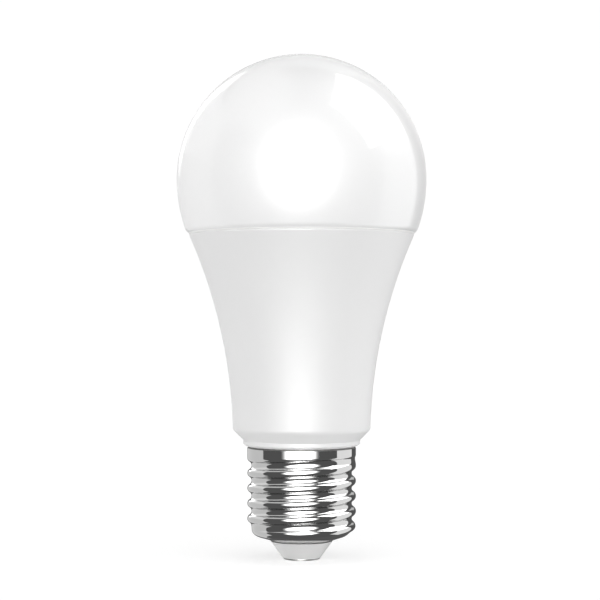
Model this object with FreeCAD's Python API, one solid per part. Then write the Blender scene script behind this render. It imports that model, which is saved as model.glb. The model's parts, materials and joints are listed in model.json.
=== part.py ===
"""Smart LED light bulb, A60 globe with an E27 screw cap, as separate solids in millimetres.

The origin is the middle of the centre contact's flat end face, and +Z runs up the bulb's axis to the
top of the globe. +X is the side where a crest of the screw thread sits CREST_Z above the origin.
The opal globe stands in a bead of sealant in the housing's rim and pulls off along +Z. Below it, an
aluminium-core LED board closes an aluminium cup, and a driver board hangs in the cup and the neck.
"""

import FreeCAD
import Part
import math
import os

Vector = FreeCAD.Vector
UP = Vector(0, 0, 1)
ORIGIN = Vector(0, 0, 0)

# ---- Driving dimensions ------------------------------------------------------------------------
OVERALL_HEIGHT = 121.0
GLOBE_RADIUS = 30.0
LOWER_GLOBE_RADIUS = 36.0  # the globe's side follows this flatter arc below its widest ring
GLOBE_WALL = 1.2
SEAM_Z = 78.0  # where the globe's edge meets the housing's rim
SLIP = 0.05  # gap between parts that slide together or are bonded

# E27 screw cap: round thread of 7 turns to the inch, pressed in thin sheet
THREAD_PITCH = 3.629
THREAD_ARC_RADIUS = 1.025
CREST_RADIUS = 13.03
ROOT_RADIUS = 12.02
CREST_Z = 7.85
CAP_TOP_Z = 26.6
CAP_SHEET = 0.35
CAP_HOLE_RADIUS = 6.9
CAP_FLOOR_Z = 4.36
CAP_FLOOR_SLOPE = math.radians(18)
CAP_CORNER_RADIUS = 2.6
THREAD_STARTS = (4.8, 8.6)  # the crest grows from nothing to full as it climbs between these heights
THREAD_ENDS = (22.4, 24.9)  # the groove fades to nothing as it climbs between these
GROOVE_LIMIT = (24.2, 24.9)  # and none of it is left above the second of these
SKIRT_LENGTH = 1.55  # plain wall at the top of the cap
SKIRT_JOIN = 0.1  # height of the band that joins the thread to the plain wall

# Housing: an overmoulded plastic flare on a pressed aluminium cup
COLLAR_GAP = 0.45  # shadow line between the cap's top edge and the collar
COLLAR_RADIUS = 14.05
COLLAR_TOP_Z = 28.4
COLLAR_STEP = (0.12, 0.04)  # how far the cone above the collar is set back, and the step's height
WAIST_RADIUS = 16.5
WAIST_Z = 30.97
RIM_RADIUS = 27.15
RIM_Z = 77.93
FLARE_RADIUS = 123.0
HOUSING_WALL = 1.2
NECK_BORE = 10.2
NECK_BOTTOM_Z = 10.6
CUP_WALL = 1.0
CUP_TOP_Z = 74.55
CUP_BOTTOM_Z = 33.0
CUP_LIP_RADIUS = 12.2
LEDGE_TOP_Z = 70.2
LEDGE_THICKNESS = 1.3
LEDGE_BORE = 19.2
LINER_WALL = 0.6
LINER_Z = (34.2, 65.0)

# LED board and what it carries
PAD_THICKNESS = 0.2
LED_BOARD_THICKNESS = 1.6
LED_BOARD_Z = LEDGE_TOP_Z + PAD_THICKNESS
LED_BOARD_TOP_Z = LED_BOARD_Z + LED_BOARD_THICKNESS
SCREW_COUNT = 3
SCREW_CIRCLE = 18.9
SCREW_START_ANGLE = 90.0
WHITE_LED_COUNT = 18
WHITE_LED_CIRCLE = 14.6
WHITE_LED_SIZE = (2.8, 3.5, 0.7)  # along the radius, across it, height
COLOUR_LED_CIRCLE = 9.6
COLOUR_LED_ANGLES = (55.0, 125.0, 235.0, 305.0)
COLOUR_LED_SIZE = (5.0, 5.0, 1.5)

# Radio module, standing on edge in a slot of the LED board
MODULE_WIDTH = 15.0
MODULE_THICKNESS = 0.8
MODULE_Z = (69.4, 87.4)
MODULE_Y = 1.6

# Driver board, standing along the axis in the cup and the neck
BOARD_Y = -4.0
BOARD_THICKNESS = 1.2
BOARD_FRONT_Y = BOARD_Y + BOARD_THICKNESS / 2
BOARD_BACK_Y = BOARD_Y - BOARD_THICKNESS / 2
BOARD_NECK_HALF = 8.6
BOARD_CUP_HALF = 12.4
BOARD_BOTTOM_Z = 12.0
BOARD_STEP_Z = 34.6
BOARD_TOP_Z = 66.0
LEAD_RADIUS = 0.3
LEAD_HOLE_RADIUS = 0.45
LEAD_TIP_Y = BOARD_BACK_Y - 1.2
HEADER_PITCH = 2.54
HEADER_PINS = 6
HEADER_PIN = 0.64
HEADER_Y = BOARD_FRONT_Y + 0.4

# ---- Shape helpers -----------------------------------------------------------------------------


class Outline:
    """A closed outline in the half plane of radius and height, turned about the Z axis."""

    def __init__(self, radius, z):
        self.first = Vector(radius, 0, z)
        self.last = self.first
        self.edges = []

    def line(self, radius, z):
        end = Vector(radius, 0, z)
        self.edges.append(Part.LineSegment(self.last, end).toShape())
        self.last = end
        return self

    def arc(self, middle, end):
        middle_point = Vector(middle[0], 0, middle[1])
        end_point = Vector(end[0], 0, end[1])
        self.edges.append(Part.Arc(self.last, middle_point, end_point).toShape())
        self.last = end_point
        return self

    def turned(self):
        if self.last.distanceToPoint(self.first) > 1e-7:
            self.line(self.first.x, self.first.z)
        face = Part.Face(Part.Wire(self.edges))
        return face.revolve(ORIGIN, UP, 360)


def cylinder(radius, bottom, top, x=0.0, y=0.0):
    return Part.makeCylinder(radius, top - bottom, Vector(x, y, bottom), UP)


def rod_y(radius, y_from, y_to, x, z):
    return Part.makeCylinder(radius, y_to - y_from, Vector(x, y_from, z), Vector(0, 1, 0))


def block(x_range, y_range, z_range):
    size = [high - low for low, high in (x_range, y_range, z_range)]
    return Part.makeBox(*size, Vector(x_range[0], y_range[0], z_range[0]))


def centred_block(centre, size):
    ranges = [(c - s / 2, c + s / 2) for c, s in zip(centre, size)]
    return block(*ranges)


def turned_about_axis(shape, angle):
    copy = shape.copy()
    copy.rotate(ORIGIN, UP, angle)
    return copy


def round_rings(shape, radius, rings):
    """Rounds the circular edges that have one of these (radius, height) pairs."""

    def wanted(edge):
        if edge.Degenerated or not isinstance(edge.Curve, Part.Circle):
            return False
        circle = edge.Curve
        return any(abs(circle.Radius - r) < 1e-3 and abs(circle.Center.z - z) < 1e-3 for r, z in rings)

    return shape.makeFillet(radius, [edge for edge in shape.Edges if wanted(edge)])


def tube_along(points, radius):
    """A round wire through the points, as one swept solid."""
    curve = Part.BSplineCurve()
    curve.interpolate([Vector(*p) for p in points])
    path = Part.Wire(curve.toShape())
    direction = curve.tangent(curve.FirstParameter)[0]
    circle = Part.Wire(Part.makeCircle(radius, Vector(*points[0]), direction))
    return path.makePipeShell([circle], True, True)


def cut_all(shape, tools):
    for tool in tools:
        shape = shape.cut(tool)
    return shape


def export(name, shapes):
    """Writes the solids of one node to parts/NAME.step."""
    solids = [solid for shape in shapes for solid in shape.Solids]
    whole = solids[0] if len(solids) == 1 else Part.makeCompound(solids)
    whole.exportStep(f"parts/{name}.step")


# ---- Screw cap ---------------------------------------------------------------------------------


def ease(value, low, high):
    """0 below low, 1 above high, and a smooth rise between them."""
    t = min(1.0, max(0.0, (value - low) / (high - low)))
    return t * t * (3 - 2 * t)


def thread_form(offset):
    """Height of the round thread above its root, 0 to 1, at this distance along Z from a crest."""
    half = THREAD_PITCH / 2
    along = abs((offset + half) % THREAD_PITCH - half)
    arc = THREAD_ARC_RADIUS
    depth = 2 * (arc - math.sqrt(arc**2 - (half / 2) ** 2))
    if along <= half / 2:
        drop = arc - math.sqrt(arc**2 - along**2)
        return 1 - drop / depth
    rise = arc - math.sqrt(arc**2 - (half - along) ** 2)
    return rise / depth


def thread_height(angle, z):
    """How far the sheet stands out from the thread's root at this angle and height.

    The crest starts and the groove ends along the helix, each by its own height at this angle.
    """
    half = THREAD_PITCH / 2
    offset = z - CREST_Z - THREAD_PITCH * angle / (2 * math.pi)
    crest_z = z - ((offset + half) % THREAD_PITCH - half)
    groove_z = z - (offset % THREAD_PITCH - half)
    groove = (1 - thread_form(offset)) * (1 - ease(groove_z, *THREAD_ENDS)) * (1 - ease(z, *GROOVE_LIMIT))
    return (CREST_RADIUS - ROOT_RADIUS) * (1 - groove) * ease(crest_z, *THREAD_STARTS)


def cap_outline(distance, inset):
    """Radius and height of the cap without its thread, at this distance from the hole's edge.

    The outline is a shallow cone, a rounded corner and a straight wall. It is moved into the metal
    by inset, at right angles to the sheet.
    """
    slope, corner = CAP_FLOOR_SLOPE, CAP_CORNER_RADIUS
    corner_centre_r = ROOT_RADIUS - corner
    cone_end_r = corner_centre_r + corner * math.sin(slope)
    cone_length = (cone_end_r - CAP_HOLE_RADIUS) / math.cos(slope)
    corner_centre_z = CAP_FLOOR_Z + cone_length * math.sin(slope) + corner * math.cos(slope)
    corner_length = corner * (math.pi / 2 - slope)
    if distance < cone_length:
        radius = CAP_HOLE_RADIUS + distance * math.cos(slope) - inset * math.sin(slope)
        return radius, CAP_FLOOR_Z + distance * math.sin(slope) + inset * math.cos(slope)
    if distance < cone_length + corner_length:
        turn = slope + (distance - cone_length) / corner
        radius = corner_centre_r + (corner - inset) * math.sin(turn)
        return radius, corner_centre_z - (corner - inset) * math.cos(turn)
    return ROOT_RADIUS - inset, corner_centre_z + distance - cone_length - corner_length


def cap_distance_at(z):
    """Distance along the cap's outline at a height on its straight wall."""
    probe = 15.0
    return probe + z - cap_outline(probe, 0.0)[1]


def thread_face(inset, start, end):
    """One smooth face of the pressed cap, from start to end along its outline."""
    around = 48
    rows = math.ceil((end - start) / 0.26)
    step = (end - start) / rows

    def point(i, j):
        angle = 2 * math.pi * i / around
        distance = start + step * (j - 1)
        radius, z = cap_outline(distance, inset)
        radius += thread_height(angle, cap_outline(distance, 0.0)[1])
        return Vector(radius * math.cos(angle), radius * math.sin(angle), z)

    # These weights make a cubic spline surface pass through the points to fourth order.
    weights = (-1 / 6, 8 / 6, -1 / 6)
    last_row = rows + 3
    samples = {(i, j): point(i, j) for i in range(-1, around + 1) for j in range(-1, last_row + 1)}

    def pole(i, j):
        total = Vector(0, 0, 0)
        for a, weight_a in enumerate(weights):
            for b, weight_b in enumerate(weights):
                total += samples[i + a - 1, j + b - 1] * (weight_a * weight_b)
        return total

    poles = [[pole(i, j) for j in range(last_row)] for i in range(around)]
    surface = Part.BSplineSurface()
    u_knots, v_knots = list(range(around + 1)), list(range(last_row + 4))
    once_u, once_v = [1] * len(u_knots), [1] * len(v_knots)
    surface.buildFromPolesMultsKnots(poles, once_u, once_v, u_knots, v_knots, True, False, 3, 3)
    surface.segment(0, around, 3, last_row)
    return surface.toShape()


def end_circles(face):
    """The lower and upper closed edges of a thread face."""
    closed = [edge for edge in face.Edges if edge.BoundBox.ZLength < 1e-3]
    return sorted(closed, key=lambda edge: edge.BoundBox.ZMin)


def solid_of(faces):
    """The solid that these faces close, all turned to look outwards."""
    shell = Part.Shell(faces)
    shell.sewShape()
    solid = Part.Solid(shell)
    if solid.Volume < 0:
        solid.reverse()
    return solid


def skirt_wall(thread, radius):
    """The plain cylinder above a thread face, and the narrow band that joins the two."""
    below = end_circles(thread)[1]
    start = below.Vertexes[0].Point
    wall = Part.makeCylinder(radius, SKIRT_LENGTH, Vector(0, 0, CAP_TOP_Z - SKIRT_LENGTH), UP).Faces[0]
    wall.rotate(ORIGIN, UP, math.degrees(math.atan2(start.y, start.x)))
    return wall, Part.makeRuledSurface(below, end_circles(wall)[0])


def screw_cap_shell():
    thread_end = cap_distance_at(CAP_TOP_Z - SKIRT_LENGTH - SKIRT_JOIN)
    threads = [thread_face(inset, 0.0, thread_end) for inset in (0.0, CAP_SHEET)]
    walls, bands = zip(*(skirt_wall(t, CREST_RADIUS - i) for t, i in zip(threads, (0.0, CAP_SHEET))))
    foot = Part.makeRuledSurface(*(end_circles(thread)[0] for thread in threads))
    rim = Part.makeRuledSurface(*(end_circles(wall)[1] for wall in walls))
    return solid_of([*threads, *walls, *bands, foot, rim])


def threaded_plug(inset, bottom, top):
    """The cap's inside between two heights on its wall, inset from the sheet's outer face."""
    side = thread_face(inset, cap_distance_at(bottom), cap_distance_at(top))
    ends = [Part.Face(Part.Wire(edge)) for edge in end_circles(side)]
    return solid_of([side, *ends])


def threaded_neck():
    """The plastic neck that screws into the cap, with the same thread on its outside."""
    plug = threaded_plug(CAP_SHEET + 0.12, NECK_BOTTOM_Z, COLLAR_TOP_Z)
    return plug.cut(cylinder(NECK_BORE, NECK_BOTTOM_Z - 1, COLLAR_TOP_Z + 1))


CONTACT_HEAD_RADIUS = 4.4
CONTACT_HEAD_HEIGHT = 0.35
CONTACT_SHANK_RADIUS = 1.1
INSULATOR_TIP_RADIUS = 4.55
INSULATOR_SEAT_RADIUS = 7.45
PLUG_TOP_Z = 6.4


def cap_insulator():
    seat_z = CAP_FLOOR_Z - SLIP
    neck = CAP_HOLE_RADIUS - 0.2
    flange = 9.4
    inner_floor = [cap_outline(d, CAP_SHEET + SLIP) for d in (0.4, 2.3)]
    outline = Outline(CONTACT_SHANK_RADIUS + SLIP, CONTACT_HEAD_HEIGHT)
    outline.line(INSULATOR_TIP_RADIUS, CONTACT_HEAD_HEIGHT)
    outline.line(INSULATOR_SEAT_RADIUS, seat_z).line(neck, seat_z)
    outline.line(neck, inner_floor[0][1]).line(*inner_floor[0]).line(*inner_floor[1])
    outline.line(flange, PLUG_TOP_Z).line(CONTACT_SHANK_RADIUS + SLIP, PLUG_TOP_Z)
    return round_rings(outline.turned(), 0.25, [(INSULATOR_TIP_RADIUS, CONTACT_HEAD_HEIGHT)])


def centre_contact():
    """A hollow rivet: a flat head under the insulator and a shank swaged over inside the cap."""
    bore, shank, swage = 0.6, CONTACT_SHANK_RADIUS, 2.0
    outline = Outline(0.0, 0.0)
    outline.line(CONTACT_HEAD_RADIUS, 0.0).line(CONTACT_HEAD_RADIUS, CONTACT_HEAD_HEIGHT)
    outline.line(shank, CONTACT_HEAD_HEIGHT).line(shank, PLUG_TOP_Z).line(swage, PLUG_TOP_Z)
    outline.line(swage, PLUG_TOP_Z + 0.4).line(bore, PLUG_TOP_Z + 0.4).line(bore, 1.2).line(0.0, 1.2)
    return round_rings(outline.turned(), 0.2, [(CONTACT_HEAD_RADIUS, 0.0)])


# ---- Globe and housing -------------------------------------------------------------------------


def flare_centre():
    """Centre of the arc that the housing's side follows, outside the bulb."""
    half_r, half_z = (RIM_RADIUS - WAIST_RADIUS) / 2, (RIM_Z - WAIST_Z) / 2
    half_chord = math.hypot(half_r, half_z)
    reach = math.sqrt(FLARE_RADIUS**2 - half_chord**2)
    across_r, across_z = half_z / half_chord, -half_r / half_chord
    return WAIST_RADIUS + half_r + reach * across_r, WAIST_Z + half_z + reach * across_z


def flare(z, inset=0.0):
    """Radius of the housing's side at a height, moved into the wall by inset."""
    centre_r, centre_z = flare_centre()
    return centre_r - math.sqrt((FLARE_RADIUS + inset) ** 2 - (z - centre_z) ** 2)


def side_arc(side, z_from, z_to, inset=0.0):
    """Middle and end of a side's arc between two heights, for Outline.arc."""
    middle_z = (z_from + z_to) / 2
    return (side(middle_z, inset), middle_z), (side(z_to, inset), z_to)


GLOBE_CENTRE_Z = OVERALL_HEIGHT - GLOBE_RADIUS
SKIRT_OUTER = 24.5
SKIRT_INNER = 23.45
SKIRT_BOTTOM_Z = 75.3
GLOBE_EDGE_ROUNDING = 1.7


def lower_globe(z, inset=0.0):
    """Radius of the globe's side at a height below its widest ring, moved into the wall by inset."""
    centre_r = GLOBE_RADIUS - LOWER_GLOBE_RADIUS
    return centre_r + math.sqrt((LOWER_GLOBE_RADIUS - inset) ** 2 - (z - GLOBE_CENTRE_Z) ** 2)


def upper_globe_middle(radius):
    """The point half way along the globe's upper quarter circle."""
    reach = radius * math.sqrt(0.5)
    return reach, GLOBE_CENTRE_Z + reach


def globe_diffuser():
    inner_radius = GLOBE_RADIUS - GLOBE_WALL
    seam_radius = lower_globe(SEAM_Z)
    shoulder_z = SEAM_Z + 1.9
    outline = Outline(0.0, OVERALL_HEIGHT)
    outline.arc(upper_globe_middle(GLOBE_RADIUS), (GLOBE_RADIUS, GLOBE_CENTRE_Z))
    outline.arc(*side_arc(lower_globe, GLOBE_CENTRE_Z, SEAM_Z))
    outline.line(SKIRT_OUTER, SEAM_Z).line(SKIRT_OUTER, SKIRT_BOTTOM_Z)
    outline.line(SKIRT_INNER, SKIRT_BOTTOM_Z).line(SKIRT_INNER, SEAM_Z + 0.7)
    outline.line(lower_globe(shoulder_z, GLOBE_WALL), shoulder_z)
    outline.arc(*side_arc(lower_globe, shoulder_z, GLOBE_CENTRE_Z, GLOBE_WALL))
    outline.arc(upper_globe_middle(inner_radius), (0.0, GLOBE_CENTRE_Z + inner_radius))
    return round_rings(outline.turned(), GLOBE_EDGE_ROUNDING, [(seam_radius, SEAM_Z)])


def housing_shell():
    seat_z = CAP_TOP_Z + COLLAR_GAP
    set_back, step = COLLAR_STEP
    floor_z, floor_r = 29.4, 12.7
    cone_top_z = 32.1
    outline = Outline(NECK_BORE, seat_z)
    outline.line(CREST_RADIUS + 0.15, seat_z).line(COLLAR_RADIUS, seat_z + 0.5)
    outline.line(COLLAR_RADIUS, COLLAR_TOP_Z - step).line(COLLAR_RADIUS - set_back, COLLAR_TOP_Z)
    outline.line(WAIST_RADIUS, WAIST_Z).arc(*side_arc(flare, WAIST_Z, RIM_Z))
    outline.line(flare(RIM_Z, HOUSING_WALL), RIM_Z).arc(*side_arc(flare, RIM_Z, cone_top_z, HOUSING_WALL))
    outline.line(floor_r, floor_z).line(NECK_BORE, floor_z)
    body = outline.turned()
    body = round_rings(body, 1.4, [(WAIST_RADIUS, WAIST_Z)])
    body = round_rings(body, 0.35, [(RIM_RADIUS, RIM_Z)])
    return body.fuse(threaded_neck())


def globe_sealant_bead():
    """A silicone bead on the cup's edge, with the groove that the globe's skirt stands in."""
    floor_z = CUP_TOP_Z + SLIP
    groove_z = SKIRT_BOTTOM_Z - SLIP
    top_z = 76.6
    inner = SKIRT_INNER - 0.5
    outline = Outline(inner, floor_z)
    outline.line(flare(floor_z, HOUSING_WALL + SLIP), floor_z)
    outline.arc(*side_arc(flare, floor_z, top_z, HOUSING_WALL + SLIP))
    outline.line(SKIRT_OUTER + SLIP, top_z - 0.3).line(SKIRT_OUTER + SLIP, groove_z)
    outline.line(SKIRT_INNER - SLIP, groove_z).line(SKIRT_INNER - SLIP, top_z - 0.6)
    outline.line(inner, top_z - 0.9)
    return outline.turned()


def screw_places(radius=SCREW_CIRCLE):
    for k in range(SCREW_COUNT):
        angle = math.radians(SCREW_START_ANGLE + 360 * k / SCREW_COUNT)
        yield radius * math.cos(angle), radius * math.sin(angle)


SCREW_SHANK_RADIUS = 1.2
SCREW_HEAD_RADIUS = 2.1
SCREW_HEAD_HEIGHT = 1.5
SCREW_LENGTH = 5.2
BOSS_RADIUS = 2.3
BOSS_LENGTH = 4.2


def heat_sink_cup():
    outside = HOUSING_WALL + SLIP
    inside = outside + CUP_WALL
    top_z = CUP_TOP_Z
    lip_z = CUP_BOTTOM_Z + CUP_WALL
    ledge_z = LEDGE_TOP_Z - LEDGE_THICKNESS
    outline = Outline(flare(top_z, outside), top_z)
    outline.arc(*side_arc(flare, top_z, CUP_BOTTOM_Z, outside))
    outline.line(CUP_LIP_RADIUS, CUP_BOTTOM_Z).line(CUP_LIP_RADIUS, lip_z)
    outline.line(flare(lip_z, inside), lip_z).arc(*side_arc(flare, lip_z, ledge_z, inside))
    outline.line(LEDGE_BORE, ledge_z).line(LEDGE_BORE, LEDGE_TOP_Z)
    outline.line(flare(LEDGE_TOP_Z, inside), LEDGE_TOP_Z)
    outline.arc(*side_arc(flare, LEDGE_TOP_Z, top_z, inside))
    cup = outline.turned()
    for x, y in screw_places():
        cup = cup.fuse(cylinder(BOSS_RADIUS, LEDGE_TOP_Z - BOSS_LENGTH, LEDGE_TOP_Z, x, y))
    holes = [cylinder(SCREW_SHANK_RADIUS + SLIP, 60, LEDGE_TOP_Z + 1, x, y) for x, y in screw_places()]
    return cut_all(cup, holes)


def driver_liner():
    """An insulating sleeve inside the cup, with two pairs of ribs that hold the driver board."""
    outside = HOUSING_WALL + CUP_WALL + 2 * SLIP
    inside = outside + LINER_WALL
    low, high = LINER_Z
    outline = Outline(flare(high, outside), high)
    outline.arc(*side_arc(flare, high, low, outside)).line(flare(low, inside), low)
    outline.arc(*side_arc(flare, low, high, inside))
    liner = outline.turned()
    room = Outline(0.0, low)
    room.line(flare(low, outside + 0.2), low).arc(*side_arc(flare, low, high, outside + 0.2)).line(0.0, high)
    room = room.turned()
    reach = BOARD_CUP_HALF - 1.0
    gap = BOARD_THICKNESS / 2 + 0.1
    for side in (-1, 1):
        for face in (-1, 1):
            x_range = sorted((side * reach, side * 25))
            y_range = sorted((BOARD_Y + face * gap, BOARD_Y + face * (gap + 0.8)))
            liner = liner.fuse(block(x_range, y_range, (low + 0.4, 60)).common(room))
    return liner


# ---- LED board ---------------------------------------------------------------------------------

MODULE_SLOT = (MODULE_WIDTH + 0.4, MODULE_THICKNESS + 0.5)
LED_BOARD_RADIUS = flare(LED_BOARD_Z, HOUSING_WALL + SLIP + CUP_WALL) - 0.1


def header_places():
    for k in range(HEADER_PINS):
        yield (k - (HEADER_PINS - 1) / 2) * HEADER_PITCH


def thermal_pad():
    ring = cylinder(LED_BOARD_RADIUS - 0.3, LEDGE_TOP_Z, LED_BOARD_Z)
    ring = ring.cut(cylinder(LEDGE_BORE + 0.2, LEDGE_TOP_Z - 1, LED_BOARD_Z + 1))
    return cut_all(ring, [cylinder(1.7, 60, 80, x, y) for x, y in screw_places()])


def led_board():
    """An aluminium-core disc with screw holes, header holes, the module's slot and two edge notches."""
    board = cylinder(LED_BOARD_RADIUS, LED_BOARD_Z, LED_BOARD_TOP_Z)
    tools = [cylinder(1.4, 60, 80, x, y) for x, y in screw_places()]
    tools += [cylinder(0.75, 60, 80, x, HEADER_Y) for x in header_places()]
    tools += [cylinder(1.0, 60, 80, side * LED_BOARD_RADIUS, 0.0) for side in (-1, 1)]
    tools.append(centred_block((0, MODULE_Y, LED_BOARD_Z), (*MODULE_SLOT, 10)))
    return cut_all(board, tools)


def led_board_screw():
    """A pan-head screw standing at the origin of the plane, head up, with a cross recess."""
    top = LED_BOARD_TOP_Z + SCREW_HEAD_HEIGHT
    bottom = LED_BOARD_TOP_Z - SCREW_LENGTH
    outline = Outline(0.0, bottom)
    outline.line(0.5, bottom).line(SCREW_SHANK_RADIUS, bottom + 0.9)
    outline.line(SCREW_SHANK_RADIUS, LED_BOARD_TOP_Z).line(SCREW_HEAD_RADIUS, LED_BOARD_TOP_Z)
    outline.line(SCREW_HEAD_RADIUS, top - 0.7).arc((1.5, top - 0.2), (0.0, top))
    screw = outline.turned()
    for size in ((2.2, 0.45, 1.6), (0.45, 2.2, 1.6)):
        screw = screw.cut(centred_block((0, 0, top), size))
    return screw


def led_board_screws():
    screw = led_board_screw()
    return [screw.translated(Vector(x, y, 0)) for x, y in screw_places()]


def packaged_led(size, recess_share, recess_depth):
    """A moulded LED body on the board at the axis, with a round-bottomed window and a marked corner."""
    length, width, height = size
    top = LED_BOARD_TOP_Z + height
    body = centred_block((0, 0, LED_BOARD_TOP_Z + height / 2), size)
    window = min(length, width) * recess_share / 2
    body = body.cut(cylinder(window, top - recess_depth, top + 1))
    corner = Part.makeBox(0.8, 0.8, 4, Vector(-0.4, -0.4, -2))
    corner.rotate(ORIGIN, UP, 45)
    corner.translate(Vector(length / 2, width / 2, top))
    return body.cut(corner)


def led_ring(body, circle, angles):
    placed = body.translated(Vector(circle, 0, 0))
    return [turned_about_axis(placed, angle) for angle in angles]


def white_led_angles(parity):
    step = 360 / WHITE_LED_COUNT
    return [step * (k + 0.5) for k in range(WHITE_LED_COUNT) if k % 2 == parity]


def white_leds(parity):
    body = packaged_led(WHITE_LED_SIZE, 0.84, 0.2)
    return led_ring(body, WHITE_LED_CIRCLE, white_led_angles(parity))


def colour_leds():
    body = packaged_led(COLOUR_LED_SIZE, 0.84, 0.35)
    return led_ring(body, COLOUR_LED_CIRCLE, COLOUR_LED_ANGLES)


# ---- Radio module ------------------------------------------------------------------------------

MODULE_FRONT_Y = MODULE_Y - MODULE_THICKNESS / 2
MODULE_PADS = 7
MODULE_PAD_PITCH = 2.0


def on_module_front(x, z, width, height, thickness):
    """A block that lies on the module's front face."""
    y_range = (MODULE_FRONT_Y - thickness, MODULE_FRONT_Y)
    return block((x - width / 2, x + width / 2), y_range, (z - height / 2, z + height / 2))


def radio_module_board():
    board = centred_block(
        (0, MODULE_Y, sum(MODULE_Z) / 2),
        (MODULE_WIDTH, MODULE_THICKNESS, MODULE_Z[1] - MODULE_Z[0]),
    )
    vertical = [
        edge
        for edge in board.Edges
        if abs(edge.BoundBox.YLength - MODULE_THICKNESS) < 1e-6 and edge.BoundBox.ZMin > MODULE_Z[1] - 1
    ]
    return board.makeFillet(0.8, vertical)


def radio_chip():
    return [on_module_front(-1.0, 77.2, 5.0, 5.0, 0.85)]


def radio_crystal():
    return [on_module_front(4.6, 78.0, 2.5, 2.0, 0.6)]


def radio_passives():
    places = [(-5.6, 79.4), (-5.6, 78.0), (-5.6, 76.6), (-5.6, 75.2), (3.6, 75.0), (5.2, 75.0)]
    places += [(-2.6, 81.2), (-1.0, 81.2), (0.6, 81.2), (3.4, 80.6)]
    return [on_module_front(x, z, 1.0, 0.5, 0.35) for x, z in places]


def radio_solder_joints():
    """Fillets of solder between the LED board and the module's pads."""
    joints = []
    for k in range(MODULE_PADS):
        x = (k - (MODULE_PADS - 1) / 2) * MODULE_PAD_PITCH
        corner = Vector(x - 0.6, MODULE_FRONT_Y, LED_BOARD_TOP_Z)
        points = [corner, corner + Vector(0, -1.3, 0), corner + Vector(0, 0, 1.4), corner]
        joints.append(Part.Face(Part.makePolygon(points)).extrude(Vector(1.2, 0, 0)))
    return joints


# ---- Board-to-board header ---------------------------------------------------------------------


def header_block():
    width = HEADER_PINS * HEADER_PITCH
    body = centred_block((0, BOARD_FRONT_Y + 1.25, 64.0), (width, 2.5, 2.5))
    holes = [centred_block((x, HEADER_Y, 64.0), (0.68, 0.68, 4)) for x in header_places()]
    return cut_all(body, holes)


def header_pins():
    z_range = (59.0, LED_BOARD_TOP_Z + 1.6)
    pins = []
    for x in header_places():
        size = (HEADER_PIN, HEADER_PIN, z_range[1] - z_range[0])
        pins.append(centred_block((x, HEADER_Y, sum(z_range) / 2), size))
    return pins


def header_solder_joints():
    joints = []
    for x in header_places():
        cone = Part.makeCone(1.05, 0.5, 1.1, Vector(x, HEADER_Y, LED_BOARD_TOP_Z), UP)
        joints.append(cone.cut(centred_block((x, HEADER_Y, LED_BOARD_TOP_Z), (0.66, 0.66, 6))))
    return joints


# ---- Driver board ------------------------------------------------------------------------------

# Height of each through-hole part's underside above the board's front face
STAND_OFF = {
    "input_capacitor": 0.3,
    "output_capacitor": 0.3,
    "surge_varistor": 1.2,
    "noise_choke": 0.5,
    "transformer": 0.3,
    "film_capacitor": 0.4,
    "fusible_resistor": 0.4,
}

# Where each part's leads go through the board, as (x, z)
LEAD_PLACES = {
    "input_capacitor": [(-1.75, 31.6), (1.75, 31.6)],
    "output_capacitor": [(5.55, 47.8), (8.05, 47.8)],
    "surge_varistor": [(-9.7, 38.6), (-5.7, 38.6)],
    "noise_choke": [(-3.6, 38.5), (1.0, 38.5)],
    "transformer": [(-6.4, 50.2), (-6.4, 54.8), (2.9, 50.2), (2.9, 54.8)],
    "film_capacitor": [(7.4, 51.4), (7.4, 57.4)],
    "fusible_resistor": [(-6.9, 14.6), (-6.9, 25.4)],
}

INPUT_CAN = {"radius": 4.0, "x": 0.0, "z_range": (14.0, 30.0), "stand_off": STAND_OFF["input_capacitor"]}
OUTPUT_CAN = {"radius": 3.15, "x": 6.8, "z_range": (35.4, 46.4), "stand_off": STAND_OFF["output_capacitor"]}
RESISTOR_X, RESISTOR_Z = -6.9, 20.0
RESISTOR_RADIUS, RESISTOR_HALF_LENGTH = 1.3, 3.6
RESISTOR_Y = BOARD_FRONT_Y + STAND_OFF["fusible_resistor"] + RESISTOR_RADIUS
VARISTOR_X, VARISTOR_Z, VARISTOR_RADIUS = -7.7, 38.6, 3.6
VARISTOR_Y = BOARD_FRONT_Y + STAND_OFF["surge_varistor"] + VARISTOR_RADIUS
CHOKE_X, CHOKE_Z = -1.3, 38.5


def driver_board():
    neck, cup = BOARD_NECK_HALF, BOARD_CUP_HALF
    corners = [
        (-neck, BOARD_BOTTOM_Z),
        (neck, BOARD_BOTTOM_Z),
        (neck, BOARD_STEP_Z),
        (cup, BOARD_STEP_Z),
        (cup, BOARD_TOP_Z),
        (-cup, BOARD_TOP_Z),
        (-cup, BOARD_STEP_Z),
        (-neck, BOARD_STEP_Z),
    ]
    points = [Vector(x, BOARD_BACK_Y, z) for x, z in corners]
    board = Part.Face(Part.makePolygon([*points, points[0]])).extrude(Vector(0, BOARD_THICKNESS, 0))
    places = [place for group in LEAD_PLACES.values() for place in group]
    holes = [rod_y(LEAD_HOLE_RADIUS, BOARD_BACK_Y - 1, BOARD_FRONT_Y + 1, x, z) for x, z in places]
    return cut_all(board, holes)


def board_solder_joints():
    """A cone of solder round each lead, on the back of the board."""
    joints = []
    for group in LEAD_PLACES.values():
        for x, z in group:
            cone = Part.makeCone(1.0, 0.4, 0.9, Vector(x, BOARD_BACK_Y, z), Vector(0, -1, 0))
            joints.append(cone.cut(rod_y(LEAD_RADIUS + 0.01, BOARD_BACK_Y - 3, BOARD_BACK_Y + 1, x, z)))
    return joints


def straight_leads(name):
    top = BOARD_FRONT_Y + STAND_OFF[name] - 0.02
    return [rod_y(LEAD_RADIUS, LEAD_TIP_Y, top, x, z) for x, z in LEAD_PLACES[name]]


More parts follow.
